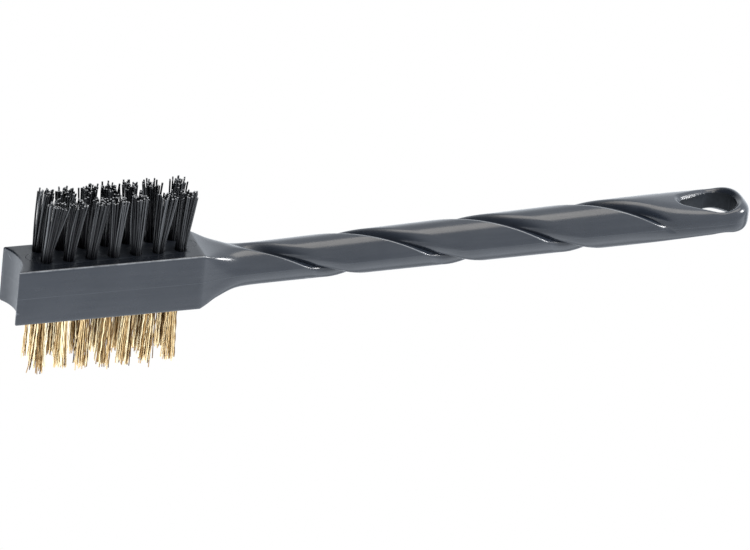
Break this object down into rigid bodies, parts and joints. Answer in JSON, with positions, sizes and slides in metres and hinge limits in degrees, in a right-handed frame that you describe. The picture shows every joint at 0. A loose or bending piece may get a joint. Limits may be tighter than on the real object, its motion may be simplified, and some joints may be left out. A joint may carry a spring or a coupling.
{
  "type": "two-sided scrubbing brush",
  "caption": "Hand brush with a moulded twisted handle and hanging eyelet, black nylon tufts on one face of the head and crimped brass wire tufts on the other.",
  "frame": {"origin": "centre of the brush's bounding box; the head's centre line runs 0.5 mm below it, because the nylon is 1 mm longer than the brass, and the grip's centre line climbs 4 mm from the shoulder to the eyelet's tip", "axes": "+X from the head's nose to the eyelet, +Y across the head, +Z out of the nylon face"},
  "size_m": [0.22, 0.0162, 0.0534],
  "materials": {
    "slate_plastic": "moulded slate grey plastic, semi gloss",
    "black_nylon": "extruded black nylon filament, satin",
    "brass_wire": "crimped brass wire, bright with brown tarnish near the root",
    "anchor_wire": "flat staple wire"
  },
  "bodies": {
    "root": {"brush_body": "slate_plastic", "nylon_tuft_front_1": "black_nylon", "nylon_tuft_front_2": "black_nylon", "nylon_tuft_front_3": "black_nylon", "nylon_tuft_front_4": "black_nylon", "nylon_tuft_front_5": "black_nylon", "nylon_tuft_front_6": "black_nylon", "nylon_tuft_front_7": "black_nylon", "nylon_tuft_back_1": "black_nylon", "nylon_tuft_back_2": "black_nylon", "nylon_tuft_back_3": "black_nylon", "nylon_tuft_back_4": "black_nylon", "nylon_tuft_back_5": "black_nylon", "nylon_tuft_back_6": "black_nylon", "nylon_tuft_back_7": "black_nylon", "nylon_anchor_front_1": "anchor_wire", "nylon_anchor_front_2": "anchor_wire", "nylon_anchor_front_3": "anchor_wire", "nylon_anchor_front_4": "anchor_wire", "nylon_anchor_front_5": "anchor_wire", "nylon_anchor_front_6": "anchor_wire", "nylon_anchor_front_7": "anchor_wire", "nylon_anchor_back_1": "anchor_wire", "nylon_anchor_back_2": "anchor_wire", "nylon_anchor_back_3": "anchor_wire", "nylon_anchor_back_4": "anchor_wire", "nylon_anchor_back_5": "anchor_wire", "nylon_anchor_back_6": "anchor_wire", "nylon_anchor_back_7": "anchor_wire", "brass_tuft_front_1": "brass_wire", "brass_tuft_front_2": "brass_wire", "brass_tuft_front_3": "brass_wire", "brass_tuft_front_4": "brass_wire", "brass_tuft_front_5": "brass_wire", "brass_tuft_front_6": "brass_wire", "brass_tuft_front_7": "brass_wire", "brass_tuft_back_1": "brass_wire", "brass_tuft_back_2": "brass_wire", "brass_tuft_back_3": "brass_wire", "brass_tuft_back_4": "brass_wire", "brass_tuft_back_5": "brass_wire", "brass_tuft_back_6": "brass_wire", "brass_tuft_back_7": "brass_wire", "brass_anchor_front_1": "anchor_wire", "brass_anchor_front_2": "anchor_wire", "brass_anchor_front_3": "anchor_wire", "brass_anchor_front_4": "anchor_wire", "brass_anchor_front_5": "anchor_wire", "brass_anchor_front_6": "anchor_wire", "brass_anchor_front_7": "anchor_wire", "brass_anchor_back_1": "anchor_wire", "brass_anchor_back_2": "anchor_wire", "brass_anchor_back_3": "anchor_wire", "brass_anchor_back_4": "anchor_wire", "brass_anchor_back_5": "anchor_wire", "brass_anchor_back_6": "anchor_wire", "brass_anchor_back_7": "anchor_wire"}
  },
  "joints": []
}
